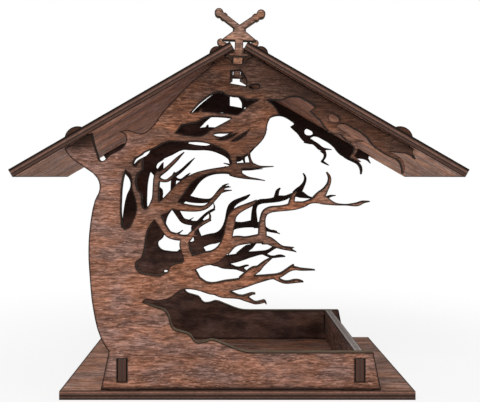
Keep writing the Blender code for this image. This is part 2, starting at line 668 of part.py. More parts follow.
def clip_body():
    """Half outline of the clip's locking part, from the fork down to the head."""
    seat = RIDGE_Z + FIT + RIDGE_GAP / 2 * math.sin(CLIP_LEAN)
    head_half = CLIP_HEAD_WIDTH / 2
    neck_half = CLIP_NECK / 2
    play = 2 * FIT
    neck_foot = RIDGE_UNDER_Z - play
    shoulder = APEX_Z - (head_half) * SLOPE_TAN - play / SLOPE_COS
    return [
        (0, RIDGE_Z + CLIP_FORK_RISE),
        (CLIP_WAIST_WIDTH / 2, RIDGE_Z + CLIP_WAIST_RISE + FIT),
        (CLIP_WEDGE_WIDTH / 2 - CLIP_WEDGE_EDGE / 2, seat + CLIP_WEDGE_EDGE),
        (CLIP_WEDGE_WIDTH / 2, seat),
        (neck_half, seat),
        (neck_half, neck_foot - neck_half * SLOPE_TAN),
        (head_half, shoulder),
        (head_half - play, shoulder - CLIP_HEAD_DEPTH),
        (0, shoulder - CLIP_HEAD_DEPTH),
    ]


def make_clip(name, y, parts, finish):
    """A ridge clip: two crossed arms with ball tips over a wedge, neck and locking head."""
    half = [Vector(point) for point in clip_body()]
    outline = half + [Vector((-point.x, point.y)) for point in reversed(half[1:-1])]
    arms = new_collection(f"{name}_arms")
    root = Vector((0, RIDGE_Z + (CLIP_FORK_RISE + CLIP_WAIST_RISE) / 2))
    for side in (-1, 1):
        ball = Vector((side * CLIP_BALL_OUT, RIDGE_Z + CLIP_BALL_RISE))
        run = (ball - root).normalized()
        across = Vector((-run.y, run.x)) * side
        collar = ball - run * (CLIP_BALL_RADIUS + CLIP_COLLAR_LENGTH / 2)
        stretches = {
            "arm": (root - run * CLIP_ARM_WIDTH, ball, CLIP_ARM_WIDTH),
            "collar": (collar - run * CLIP_COLLAR_LENGTH / 2,
                       collar + run * CLIP_COLLAR_LENGTH / 2, CLIP_COLLAR_WIDTH),
        }
        for number, (kind, (start, end, width)) in enumerate(stretches.items()):
            offset = across * width / 2
            corners = [start + offset, start - offset, end - offset, end + offset]
            depth = PLY + OVERCUT + (number + side) * OVERCUT_STEP
            straight_board(f"{kind}_{side}", corners, depth, arms)
        turns = [ball + CLIP_BALL_RADIUS * Vector((math.cos(a), math.sin(a)))
                 for a in (math.tau * step / 20 for step in range(20))]
        straight_board(f"ball_{side}", turns, PLY + OVERCUT * 2 + side * OVERCUT_STEP, arms)
    work = new_collection(f"{name}_work")
    body = straight_board(f"{name}_body", outline, PLY + OVERCUT * 3, work)
    join_or_trim(body, "UNION", tools=arms)
    reach = CLIP_BALL_OUT + 2 * CLIP_BALL_RADIUS
    low = RIDGE_UNDER_Z - reach
    high = RIDGE_Z + CLIP_BALL_RISE + 2 * CLIP_BALL_RADIUS
    corners = [Vector((-reach, low)), Vector((reach, low))]
    corners += [Vector((reach, high)), Vector((-reach, high))]
    blank = straight_board(f"{name}_blank", corners, PLY, work)
    join_or_trim(blank, "INTERSECT", tool=body)
    for point in blank.data.vertices:
        point.co.y -= RIDGE_UNDER_Z
    clip = bpy.data.objects.new(name, blank.data)
    parts.objects.link(clip)
    clip.rotation_euler = (math.radians(90), CLIP_LEAN, 0)
    clip.location = (ROOF_AXIS_X, y, RIDGE_UNDER_Z)
    dress(clip, finish)
    clear_collection(arms)
    clear_collection(work)


def make_clips(parts):
    finish = wood("light_ply_clips", (0.40, 0.22, 0.14), 0.55)
    front = -ROOF_DEPTH / 2 + PLY / 2
    make_clip("ridge_clip_front", front, parts, finish)
    make_clip("ridge_clip_back", front + REAR_CLIP_SETBACK, parts, finish)


def main():
    for item in list(bpy.data.objects):
        bpy.data.objects.remove(item)
    parts = new_collection("bird_feeder")
    cutters = new_collection("cutters")
    make_base(parts, cutters)
    make_panels(parts)
    make_walls(parts)
    make_roof(parts, cutters)
    make_clips(parts)


main()
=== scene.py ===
"""Dressed model of a laser-cut plywood bird feeder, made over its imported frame.

Every board is remade from the outline that its CAD node was sawn to: a Geometry Nodes tree
carries the outline through the sheet, eases its arrises and lays the glue lines round it.
"""
import math

import bpy
import numpy as np
from bpy.props import FloatProperty, FloatVectorProperty, IntProperty, PointerProperty
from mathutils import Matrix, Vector, geometry


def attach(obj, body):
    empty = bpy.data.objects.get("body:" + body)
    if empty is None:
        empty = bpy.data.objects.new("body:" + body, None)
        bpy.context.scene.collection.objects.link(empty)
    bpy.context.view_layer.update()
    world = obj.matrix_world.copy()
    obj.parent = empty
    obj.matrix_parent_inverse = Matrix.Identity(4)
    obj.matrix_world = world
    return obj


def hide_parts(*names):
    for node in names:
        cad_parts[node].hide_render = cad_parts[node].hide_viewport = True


bl_info = {
    "name": "Plywood Bird Feeder",
    "version": (1, 0, 0),
    "blender": (4, 5, 0),
    "location": "3D View > Sidebar > Feeder",
    "description": "Dresses the boards of a flat-pack bird feeder and lights them",
    "category": "Object",
}

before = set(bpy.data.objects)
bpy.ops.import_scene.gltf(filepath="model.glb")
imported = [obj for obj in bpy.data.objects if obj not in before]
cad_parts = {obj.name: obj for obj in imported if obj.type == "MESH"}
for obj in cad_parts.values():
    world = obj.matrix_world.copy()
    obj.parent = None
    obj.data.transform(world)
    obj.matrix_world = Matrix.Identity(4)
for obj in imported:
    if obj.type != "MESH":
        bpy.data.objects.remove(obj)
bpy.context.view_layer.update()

MM = 0.001
BODY = "root"
PER_METRE = 1000
# Points nearer than this are one point, and numbers smaller than the next are nothing
WELD = 1e-6
TINY = 1e-12
# The least that a ray runs before it can meet the outline again
RAY_CLEAR = 2e-5
# The height in millimetres that the stops of painted light and shade on inside faces are shares
# of
TOP = 235.0
ROOF_PITCH = 30
# How far the glue lines stand out of the cut edge
GLUE_PROUD = 0.02 * MM

# Rings inside the sawn edge: their distance from it in millimetres, and the most they take of
# the room in a thin twig
RINGS = ((0.03, 0.04), (0.16, 0.14), (0.5, 0.28), (1.5, 0.42))


# Sizes and colours that a user would change


class FeederBoards(bpy.types.PropertyGroup):
    """How the sheet is built up and how its sawn edges are eased"""

    plies: IntProperty(name="Plies", description="Veneers in the sheet", default=3, min=1, max=9)
    arris: FloatProperty(
        name="Arris", description="Depth that the sawn corner is eased",
        default=0.14 * MM, min=0, unit="LENGTH", subtype="DISTANCE",
    )
    glue_line: FloatProperty(
        name="Glue line", description="Height of each dark glue line on a cut edge",
        default=0.3 * MM, min=0, unit="LENGTH", subtype="DISTANCE",
    )
    char_reach: FloatProperty(
        name="Char reach", description="How far the burnt rim runs in over the face",
        default=0.5 * MM, min=0, unit="LENGTH", subtype="DISTANCE",
    )


class FeederFinish(bpy.types.PropertyGroup):
    """Stains and burnt colours of the wood, with painted shade on inside faces and painted light
    on the roof undersides
    """

    panel_stain: FloatVectorProperty(
        name="Panel stain", description="Colour of the tree panels", subtype="COLOR",
        size=3, min=0, max=1, default=(0.288, 0.149, 0.108),
    )
    board_stain: FloatVectorProperty(
        name="Board stain", description="Colour of the base board", subtype="COLOR",
        size=3, min=0, max=1, default=(0.520, 0.290, 0.208),
    )
    roof_stain: FloatVectorProperty(
        name="Roof stain", description="Colour of the roof boards", subtype="COLOR",
        size=3, min=0, max=1, default=(0.250, 0.150, 0.115),
    )
    wall_stain: FloatVectorProperty(
        name="Tray wall stain", description="Colour of the low tray walls", subtype="COLOR",
        size=3, min=0, max=1, default=(0.190, 0.110, 0.085),
    )
    clip_stain: FloatVectorProperty(
        name="Clip stain", description="Colour of the ridge clips", subtype="COLOR",
        size=3, min=0, max=1, default=(0.320, 0.168, 0.112),
    )
    char: FloatVectorProperty(
        name="Char", description="Burnt rim and glue lines", subtype="COLOR",
        size=3, min=0, max=1, default=(0.016, 0.009, 0.007),
    )
    cut_wood: FloatVectorProperty(
        name="Cut boards", description="Lightest veneer on the cut edge of a plain board",
        subtype="COLOR", size=3, min=0, max=1, default=(0.270, 0.140, 0.104),
    )
    cut_fretwork: FloatVectorProperty(
        name="Cut fretwork", description="Lightest veneer on the cut edge of a tree panel",
        subtype="COLOR", size=3, min=0, max=1, default=(0.370, 0.275, 0.178),
    )
    # Painted shade on the inside faces of the tree panels
    inner_shade_low: FloatVectorProperty(
        name="Lining, low", description="Inner face of a tree panel down in the tray",
        subtype="COLOR", size=3, min=0, max=1, default=(0.195, 0.110, 0.086),
    )
    inner_shade_high: FloatVectorProperty(
        name="Lining, high", description="Inner face of a tree panel above the tray",
        subtype="COLOR", size=3, min=0, max=1, default=(0.060, 0.026, 0.019),
    )
    # Painted light: the undersides of the roof boards are coloured lighter than their tops,
    # standing in for light bounced up from the floor
    underside_painted_light: FloatVectorProperty(
        name="Underside stain", description="Colour of the roof boards' undersides",
        subtype="COLOR", size=3, min=0, max=1, default=(0.600, 0.350, 0.258),
    )


class FeederStage(bpy.types.PropertyGroup):
    """Light and ground"""

    key_power: FloatProperty(
        name="Key light", description="Power of the main soft light, in watts",
        default=11.0, min=0,
    )
    fill_power: FloatProperty(
        name="Fill light", description="Power of the light from the right, in watts",
        default=2.0, min=0,
    )
    sky: FloatProperty(
        name="Sky light", description="Strength of the even light from all round",
        default=0.40, min=0,
    )
    floor_white: FloatProperty(
        name="Floor white", description="Share of the floor's shade that is white at the feeder",
        default=0.82, min=0, max=1, subtype="FACTOR",
    )
    floor_fade: FloatProperty(
        name="Floor fade", description="Distance at which the floor has become plain white",
        default=0.45, min=0, unit="LENGTH", subtype="DISTANCE",
    )


# Shader nodes


class Finish:
    """The nodes of a material, or of the world, with short words for those that it needs."""

    def __init__(self, owner):
        owner.use_nodes = True
        self.owner = owner
        self.nodes = owner.node_tree.nodes
        self.links = owner.node_tree.links
        self.shader = self.nodes.get("Principled BSDF")

    def feed(self, socket, value):
        if isinstance(value, bpy.types.NodeSocket):
            self.links.new(value, socket)
        elif isinstance(value, tuple) and len(socket.default_value) == 4:
            socket.default_value = (*value, 1)
        else:
            socket.default_value = value

    def maths(self, operation, first, second=0.0):
        node = self.nodes.new("ShaderNodeMath")
        node.operation = operation
        self.feed(node.inputs[0], first)
        self.feed(node.inputs[1], second)
        return node.outputs[0]

    def vector(self, operation, first, second=(0, 0, 0)):
        node = self.nodes.new("ShaderNodeVectorMath")
        node.operation = operation
        self.feed(node.inputs[0], first)
        self.feed(node.inputs[1], second)
        return node.outputs["Value" if operation == "LENGTH" else "Vector"]

    def parts(self, vector):
        """The X, Y and Z of a vector."""
        node = self.nodes.new("ShaderNodeSeparateXYZ")
        self.links.new(vector, node.inputs[0])
        return node.outputs

    def grain_space(self, turn=(0, 0, 0)):
        """Object coordinates in millimetres, turned so that the grain runs along X."""
        place = self.nodes.new("ShaderNodeTexCoord")
        mapping = self.nodes.new("ShaderNodeMapping")
        mapping.inputs["Rotation"].default_value = turn
        mapping.inputs["Scale"].default_value = (PER_METRE, PER_METRE, PER_METRE)
        self.links.new(place.outputs["Object"], mapping.inputs["Vector"])
        return mapping.outputs[0]

    def noise(self, place, size, detail=3.0, roughness=0.55):
        """Noise whose features have the given size in millimetres along and across the grain."""
        along, across = size
        node = self.nodes.new("ShaderNodeTexNoise")
        scaled = self.vector("DIVIDE", place, (along, across, across))
        self.links.new(scaled, node.inputs["Vector"])
        node.inputs["Scale"].default_value = 1.0
        node.inputs["Detail"].default_value = detail
        node.inputs["Roughness"].default_value = roughness
        return node.outputs["Fac"]

    def ramp(self, value, stops, interpolation="EASE"):
        node = self.nodes.new("ShaderNodeValToRGB")
        node.color_ramp.interpolation = interpolation
        elements = node.color_ramp.elements
        while len(elements) < len(stops):
            elements.new(0.5)
        for element, (position, colour) in zip(elements, stops):
            element.position = position
            element.color = (*colour, 1)
        self.feed(node.inputs[0], value)
        return node.outputs[0]

    def rise(self, value, low, high, start=0.0, end=1.0):
        """A smooth step from start to end while the value runs from low to high."""
        node = self.nodes.new("ShaderNodeMapRange")
        node.interpolation_type = "SMOOTHSTEP"
        self.feed(node.inputs["Value"], value)
        node.inputs["From Min"].default_value = low
        node.inputs["From Max"].default_value = high
        node.inputs["To Min"].default_value = start
        node.inputs["To Max"].default_value = end
        return node.outputs[0]

    def region(self, across, up, reach_across, reach_up, amount=1.0):
        """The amount in the corner where both values are past the ends of their reaches."""
        return self.maths("MULTIPLY", self.rise(across, *reach_across, 0.0, amount),
                          self.rise(up, *reach_up))

    def mix(self, factor, first, second, blend="MIX"):
        node = self.nodes.new("ShaderNodeMix")
        node.data_type = "RGBA"
        node.blend_type = blend
        self.feed(node.inputs["Factor"], factor)
        self.feed(node.inputs[6], first)
        self.feed(node.inputs[7], second)
        return node.outputs[2]

    def times(self, colour, cast):
        return self.mix(1.0, colour, cast, "MULTIPLY")

    def shaded_by_height(self, colour, height, shade, towards):
        """Painted shade: the colour mixed towards a darker one between two heights."""
        low, high, more = shade
        return self.mix(self.rise(height, low, high, 0.0, more), colour, towards)

    def attribute(self, name):
        node = self.nodes.new("ShaderNodeAttribute")
        node.attribute_name = name
        return node.outputs["Fac"]

    def surface(self, colour, roughness, gloss):
        self.feed(self.shader.inputs["Base Color"], colour)
        self.feed(self.shader.inputs["Roughness"], roughness)
        self.shader.inputs["Specular IOR Level"].default_value = gloss

    def relief(self, height, depth, strength):
        node = self.nodes.new("ShaderNodeBump")
        node.inputs["Strength"].default_value = strength
        node.inputs["Distance"].default_value = depth
        self.links.new(height, node.inputs["Height"])
        self.links.new(node.outputs[0], self.shader.inputs["Normal"])


def tone(colour, factor):
    """The colour times one factor, or times one for each channel."""
    factors = factor if isinstance(factor, tuple) else (factor,) * 3
    return tuple(min(1.0, channel * times) for channel, times in zip(colour, factors))


# Pools of painted shade on the front tree panel, the back one and the base board: middle x and z,
# half width and half height in millimetres, and how much
FRONT_SHADE_POOLS = ((-16, 136, 62, 42, 0.50), (20, 146, 30, 30, 0.30), (-62, 130, 14, 30, 0.36),
              (-94, 160, 18, 16, 0.85), (0, 5, 400, 3.4, 0.85))
BACK_SHADE_POOLS = ((30, 98, 72, 46, 0.96),)
BASE_SHADE_POOLS = ((112, 5, 80, 900, 0.30), (5, 5, 105, 900, 0.34))
# Corners of the tree panels, as reaches along x and in height: the painted shade below the right
# roof board, with the board's slope taken out, and how much darker; where the stain is more
# orange than pink; and where the rim is less burnt, and by how much
EAVES_SHADE = ((8, 40), (188, 206), 0.74)
WARM_STAIN = ((-75, -38), (38, 62))
CLEAN_RIM = ((34, 58), (128, 140), 0.6)

# What stain is multiplied by in blotches, bands, flecks, pores and clouds, and along the fibres
GREY_CAST = (0.90, 0.97, 1.08)
RUST_CAST = (1.10, 0.95, 0.83)
WARM_CAST = (1.03, 0.92, 0.79)
BAND_CAST = (0.66, 0.67, 0.68)
FLECK_CAST = (2.0, 2.2, 2.35)
PORE_CAST = (0.20, 0.17, 0.16)
CLOUD_CASTS = ((0.36, 0.34, 0.34), (1.02, 0.98, 0.98))
FIBRE_CASTS = ((0.30, (0.24, 0.22, 0.21)), (0.42, (0.64, 0.62, 0.61)),
               (0.52, (1.04, 1.04, 1.04)), (0.66, (2.00, 2.14, 2.24)))
STREAK_CAST = (0.45, 0.42, 0.40)
# What a cut edge is multiplied by where it looks up, to make it lighter and greyer
UPWARD_CAST = (4.5, 7.8, 10.0)

# Sizes in millimetres along and across the grain
DRIFT = (34, 20)
BLOTCH = (26, 12)
CLOUD = (17, 8)
FLECK = (3.4, 0.7)
PORE = (2.8, 0.5)
WOBBLE = (1.6, 1.2)
STREAK = (2.2, 0.5)
SCORCH = (9, 9)
RESIN = (3, 3)
# How far the blotches push the painted shade below the roof board up or down, in millimetres
BLOTCH_RUN = 22.0

# Between which values of its noise or measure each of them begins and ends
BLOTCH_STEP = (0.38, 0.60)
BAND_STEP = (0.40, 0.62)
CLOUD_STEP = (0.34, 0.66)
SPECK_STEP = (0.58, 0.68)
STREAK_STEP = (0.3, 0.7)
SCORCH_STEP = (0.35, 0.68)
INSIDE_STEP = (0.3, 0.7)
UPWARD_STEP = (0.6, 0.95)
PATCH_STEP = (0.35, 1.0)

# Smoke and char round a cut: from and to as shares of the char's reach, how much, and the tone
RIM_BURNS = ((0.0, 2.4, 0.55, 2.2), (0.2, 1.0, 0.96, 1.0))
# What is left of the stain under painted shade by height, and in the painted shade pools and
# below the roof board
SHADED = 0.04
DARKEST_SHADE = 0.06


def stained_face(name, stain, turn, wander=3.0, inner_light_and_shade=None, shade=None, burn=1.0,
                 fibres=(5.2, 0.95), bands=(46.0, 4.4), shade_pools=(), eaves_shade=None, warm=None,
                 clean=None):
    """Stained veneer: fibres along the grain, bands, flecks, pores and a burnt rim, with painted
    shade and light.

    wander: how far the fibres stray from a straight line, in millimetres.
    inner_light_and_shade: which face looks into the feeder (0 or 1 through the sheet), the
    painted light and shade on it at some heights in millimetres, and how cloudy it is.
    shade: the heights in millimetres between which painted shade darkens the stain, and by how
    much.
    burn: how far the burnt rim runs in, as a share of the usual reach.
    fibres, bands: their length and width in millimetres.
    shade_pools, eaves_shade: painted shade, in pools and below the right roof board.
    warm, clean: where it is more orange, and where the rim is less burnt.
    """
    finish = Finish(bpy.data.materials.new(name))
    char = tuple(bpy.context.scene.feeder_finish.char)
    upright = finish.grain_space()
    corner = finish.parts(upright)
    x, height = corner[0], corner[2]
    straight = finish.grain_space(turn)
    drift = finish.maths("SUBTRACT", finish.noise(straight, DRIFT, detail=2), 0.5)
    drift = finish.maths("MULTIPLY", drift, wander * 2)
    shift = finish.nodes.new("ShaderNodeCombineXYZ")
    for axis in ("Y", "Z"):
        finish.links.new(drift, shift.inputs[axis])
    place = finish.vector("ADD", straight, shift.outputs[0])

    base = stain
    if warm:
        base = finish.mix(finish.region(x, height, *warm), base, tone(stain, WARM_CAST))
    # Painted light and shade on the face that looks into the feeder, changing with height
    if inner_light_and_shade:
        side, stops, cloudy = inner_light_and_shade
        light_and_shade_by_height = finish.ramp(finish.maths("DIVIDE", height, TOP),
                             [(level / TOP, colour) for level, colour in stops])
        cloud = finish.rise(finish.noise(place, CLOUD, detail=4, roughness=0.6), *CLOUD_STEP)
        light_and_shade_by_height = finish.mix(cloudy, light_and_shade_by_height, finish.mix(cloud, *CLOUD_CASTS), "MULTIPLY")
        inside = finish.rise(finish.attribute("through"), *INSIDE_STEP, 1.0 - side, float(side))
        base = finish.mix(inside, base, light_and_shade_by_height)

    blotch = finish.noise(place, BLOTCH)
    colour = finish.mix(finish.rise(blotch, *BLOTCH_STEP), finish.times(base, GREY_CAST),
                        finish.times(base, RUST_CAST))
    fibre = finish.noise(place, fibres, detail=4, roughness=0.7)
    colour = finish.times(colour, finish.ramp(fibre, FIBRE_CASTS, "LINEAR"))
    band = finish.rise(finish.noise(place, bands), *BAND_STEP)
    colour = finish.mix(band, colour, finish.times(colour, BAND_CAST))
    for size, cast in ((FLECK, FLECK_CAST), (PORE, PORE_CAST)):
        speck = finish.noise(place, size, detail=2)
        amount = finish.rise(speck, *SPECK_STEP, 0.0, 0.65)
        colour = finish.mix(amount, colour, finish.times(base, cast))
    pore = speck
    # That face keeps less of the grain under its painted light and shade
    if inner_light_and_shade:
        colour = finish.mix(finish.maths("MULTIPLY", inside, cloudy * 0.5), colour, base)
    # Painted shade: darker between two heights
    if shade:
        colour = finish.shaded_by_height(colour, height, shade, tone(stain, SHADED))

    uneven = finish.maths("SUBTRACT", blotch, 0.5)
    # Painted shade below the right roof board, following its slope
    if eaves_shade:
        slope = finish.maths("MULTIPLY", x, math.tan(math.radians(ROOF_PITCH)))
        level = finish.maths("ADD", finish.maths("ADD", height, slope),
                             finish.maths("MULTIPLY", uneven, BLOTCH_RUN))
        colour = finish.mix(finish.region(x, level, *eaves_shade), colour, tone(stain, DARKEST_SHADE))
    # Pools of painted shade
    for middle_x, middle_z, wide, tall, more in shade_pools:
        away = finish.vector("SUBTRACT", upright, (middle_x, 0, middle_z))
        away = finish.vector("LENGTH", finish.vector("MULTIPLY", away, (1 / wide, 0, 1 / tall)))
        away = finish.maths("ADD", away, finish.maths("MULTIPLY", uneven, 0.5))
        pooled_shade = finish.rise(away, *PATCH_STEP, more, 0.0)
        colour = finish.mix(pooled_shade, colour, tone(stain, DARKEST_SHADE))

    rim = finish.maths("MULTIPLY", finish.attribute("rim"), PER_METRE)
    wobble = finish.maths("MULTIPLY", finish.noise(place, WOBBLE, detail=2), -0.4)
    rim = finish.maths("ADD", rim, wobble)
    reach = bpy.context.scene.feeder_boards.char_reach / MM * burn
    kept = finish.maths("SUBTRACT", 1.0, finish.region(x, height, *clean)) if clean else 1.0
    for start, end, amount, factor in RIM_BURNS:
        burnt = finish.rise(rim, reach * start, reach * end, amount, 0.0)
        colour = finish.mix(finish.maths("MULTIPLY", burnt, kept), colour, tone(char, factor))
    finish.surface(colour, finish.rise(fibre, 0.3, 0.7, 0.78, 0.62), 0.08)
    relief = finish.maths("SUBTRACT", fibre, finish.maths("MULTIPLY", pore, 0.5))
    finish.relief(relief, 0.12 * MM, 0.55)
    return finish.owner


# Tones of a cut edge from the outer face inwards: share of the thickness, then light (1) to dark
THREE_PLY = ((0.0, 0.0), (0.06, 0.7), (0.26, 1.0), (0.30, 0.9), (0.35, 0.35), (0.64, 0.4),
             (0.70, 0.9), (0.94, 0.8), (1.0, 0.0))
BASE_PLY = ((0.0, 0.5), (0.05, 1.35), (0.17, 1.35), (0.22, 0.9), (0.40, 0.8), (0.44, 0.22),
            (0.62, 0.26), (0.67, 0.65), (0.83, 0.55), (0.88, 0.0), (1.0, 0.0))
ROOF_PLY = ((0.0, 0.0), (0.18, 0.0), (0.27, 0.6), (0.40, 1.2), (0.52, 0.8), (0.59, 0.02),
            (0.70, 0.02), (0.76, 0.5), (0.93, 0.48), (0.97, 0.0), (1.0, 0.0))
WALL_PLY = ((0.0, 0.0), (0.08, 0.8), (0.34, 1.0), (0.42, 0.6), (0.58, 0.55), (0.66, 1.0),
            (0.90, 0.8), (1.0, 0.0))


def cut_edge(name, turn, layers, wood, burn, upward_lift=0.0, shade=None):
    """A laser-cut edge: veneers of light and dark grain, scorched in places, with painted shade
    where it is given.

    burn: how much of it is scorched.
    upward_lift: how much lighter and greyer the edges that look up are made.
    shade: the heights in millimetres between which painted shade makes it blacker, and by how
    much.
    """
    finish = Finish(bpy.data.materials.new(name))
    char = tuple(bpy.context.scene.feeder_finish.char)
    place = finish.grain_space(turn)
    stops = [(share, [c + (w * level - c) * min(1, level * 4) for c, w in zip(char, wood)])
             for share, level in layers]
    colour = finish.ramp(finish.attribute("through"), stops, "LINEAR")
    streak = finish.noise(place, STREAK, detail=4, roughness=0.6)
    colour = finish.mix(finish.rise(streak, *STREAK_STEP, 0.8, 0.0), colour,
                        finish.times(colour, STREAK_CAST))
    scorch = finish.rise(finish.noise(place, SCORCH), *SCORCH_STEP, burn * 0.3,
                         min(1.0, burn * 1.5))
    colour = finish.mix(scorch, colour, tone(char, 1.6))
    # Lighter and greyer where the cut edge looks up
    if upward_lift:
        normal = finish.nodes.new("ShaderNodeNewGeometry").outputs["True Normal"]
        upward = finish.rise(finish.parts(normal)[2], *UPWARD_STEP, 0.0, upward_lift)
        plain = finish.mix(0.5, colour, tone(wood, 0.66))
        colour = finish.mix(upward, plain, finish.times(colour, UPWARD_CAST))
    # Painted shade: blacker between two heights
    if shade:
        height = finish.parts(finish.grain_space())[2]
        colour = finish.shaded_by_height(colour, height, shade, char)
    finish.surface(colour, 0.8, 0.05)
    finish.relief(streak, 0.15 * MM, 0.6)
    return finish.owner


def glue_finish():
    """Dark, slightly glossy resin between the veneers."""
    finish = Finish(bpy.data.materials.new("glue_line"))
    char = tuple(bpy.context.scene.feeder_finish.char)
    patch = finish.noise(finish.grain_space(), RESIN)
    finish.surface(finish.ramp(patch, ((0.3, char), (0.7, tone(char, 2.6)))), 0.6, 0.5)
    return finish.owner


# The outline that a board was sawn to


def board_axes(node, grain):
    """Grain, across and through axes of a flat board, the depth of its front face and its
    thickness. The through axis runs from the front, or upper, face into the wood."""
    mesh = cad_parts[node].data
    areas = {}
    for face in mesh.polygons:
        key = tuple(round(part, 2) for part in face.normal)
        areas[key] = areas.get(key, 0.0) + face.area
    largest = max(areas.values())
    faces = [key for key, area in areas.items() if area > 0.97 * largest]
    outward = Vector(max(faces, key=lambda key: (key[2], -key[1], -key[0])))
    exact = [face for face in mesh.polygons if face.normal.dot(outward) > 0.999]
    outward = max(exact, key=lambda face: face.area).normal.copy()
    through = -outward.normalized()
    along = (grain - through * grain.dot(through)).normalized()
    across = along.cross(through)
    depths = [through.dot(point.co) for point in mesh.vertices]
    return along, across, through, min(depths), max(depths) - min(depths)


def sawn_loops(node, axes):
    """The closed outlines of a board's front face, the wood on the left of each."""
    along, across, through, front = axes[:4]
    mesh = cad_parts[node].data
    keys = {}
    points = []
    lookup = []
    for vertex in mesh.vertices:
        key = tuple(round(part / WELD / 3) for part in vertex.co)
        if key not in keys:
            keys[key] = len(points)
            points.append((along.dot(vertex.co), across.dot(vertex.co)))
        lookup.append(keys[key])
    edges = {}
    for face in mesh.polygons:
        on_front = abs(through.dot(face.center) - front) < WELD * 20
        if face.normal.dot(through) > -0.999 or not on_front:
            continue
        corners = [lookup[index] for index in face.vertices]
        for start, end in zip(corners, corners[1:] + corners[:1]):
            if (end, start) in edges:
                del edges[(end, start)]
            elif start != end:
                edges[(start, end)] = True
    onward = {}
    for start, end in edges:
        onward.setdefault(start, []).append(end)
    loops = []
    while onward:
        first = next(iter(onward))
        loop = [first]
        while True:
            ends = onward[loop[-1]]
            step = ends.pop()
            if not ends:
                del onward[loop[-1]]
            if step == first:
                break
            loop.append(step)
        if len(loop) > 2:
            loops.append(np.array([points[index] for index in loop]))
    return loops


def segments_of(loops):
    starts = np.concatenate(loops)
    ends = np.concatenate([np.roll(loop, -1, axis=0) for loop in loops])
    return starts, ends


def room_ahead(points, rays, starts, ends):
    """How far each ray runs before it meets the outline again."""
    run = ends - starts
    room = np.full(len(points), 1.0)
    for index, (point, ray) in enumerate(zip(points, rays)):
        cross = ray[0] * run[:, 1] - ray[1] * run[:, 0]
        gap = starts - point
        safe = np.where(np.abs(cross) < TINY, TINY, cross)
        distance = (gap[:, 0] * run[:, 1] - gap[:, 1] * run[:, 0]) / safe
        share = (gap[:, 0] * ray[1] - gap[:, 1] * ray[0]) / safe
        hit = (distance > RAY_CLEAR) & (share >= -WELD) & (share <= 1 + WELD)
        if hit.any():
            room[index] = distance[hit].min()
    return room


def inward_rays(loop):
    """Unit bisectors into the wood, and how much longer the mitre is than the offset."""
    before = loop - np.roll(loop, 1, axis=0)
    after = np.roll(loop, -1, axis=0) - loop
    for run in (before, after):
        run /= np.maximum(np.linalg.norm(run, axis=1, keepdims=True), TINY)
    left = np.stack((-(before + after)[:, 1], (before + after)[:, 0]), axis=1)
    length = np.linalg.norm(left, axis=1, keepdims=True)
    rays = left / np.maximum(length, 1e-9)
    mitre = 1 / np.clip(length[:, 0] / 2, 0.5, 1)
    return rays, mitre


def ring_loops(loops):
    """Each outline repeated at its ring distances inside the wood."""
    starts, ends = segments_of(loops)
    rings = []
    outward = []
    for loop in loops:
        rays, mitre = inward_rays(loop)
        room = room_ahead(loop, rays, starts, ends)
        for number, (reach, share) in enumerate(RINGS):
            offset = np.minimum(reach * MM * mitre, share * room)
            rings.append((number, loop + rays * offset[:, None]))
            outward.append(-rays if number == 0 else np.zeros_like(rays))
    return rings, outward


def nearest_edge(points, starts, ends):
    run = ends - starts
    length = np.maximum((run ** 2).sum(axis=1), 1e-18)
    nearest = np.empty(len(points))
    for index, point in enumerate(points):
        share = np.clip(((point - starts) * run).sum(axis=1) / length, 0, 1)
        foot = starts + run * share[:, None] - point
        nearest[index] = math.sqrt((foot ** 2).sum(axis=1).min())
    return nearest


def in_wood(points, starts, ends):
    """Even-odd test of points against the outline."""
    inside = np.zeros(len(points), bool)
    for index, (x, y) in enumerate(points):
        above = (starts[:, 1] > y) != (ends[:, 1] > y)
        a = starts[above]
        b = ends[above]
        crossing = a[:, 0] + (y - a[:, 1]) / (b[:, 1] - a[:, 1]) * (b[:, 0] - a[:, 0])
        inside[index] = (crossing > x).sum() % 2 == 1
    return inside


def sawn_sheet(name, node, axes):
    """The flat outline as a fine mesh in the board's back plane, facing the front, with each
    point's distance from the sawn edge and, on the edge itself, the way out of the wood."""
    along, across, through, front, thickness = axes
    rings, ways = ring_loops(sawn_loops(node, axes))
    points = []
    edges = []
    for _, ring in rings:
        base = len(points)
        points += [Vector(point) for point in ring * PER_METRE]
        edges += [(base + i, base + (i + 1) % len(ring)) for i in range(len(ring))]
    result = geometry.delaunay_2d_cdt(points, edges, [], 0, 1e-5)
    flat = np.array([tuple(point) for point in result[0]]) / PER_METRE
    starts, ends = segments_of([ring for number, ring in rings if number == 0])
    faces = np.array(result[2])
    kept = faces[in_wood(flat[faces].mean(axis=1), starts, ends)]
    back = through * (front + thickness)
    mesh = bpy.data.meshes.new(name)
    mesh.from_pydata([along * x + across * y + back for x, y in flat], [], kept.tolist())
    rim = nearest_edge(flat, starts, ends)
    rim[rim < 2 * WELD] = 0
    mesh.attributes.new("rim", "FLOAT", "POINT").data.foreach_set("value", rim)
    out = np.zeros((len(flat), 3))
    order = np.concatenate(ways)
    for index, sources in enumerate(result[3]):
        for source in sources:
            x, y = order[source]
            if x or y:
                out[index] = along * x + across * y
    mesh.attributes.new("out", "FLOAT_VECTOR", "POINT").data.foreach_set("vector", out.ravel())
    return mesh


# The tree that makes a board of its outline


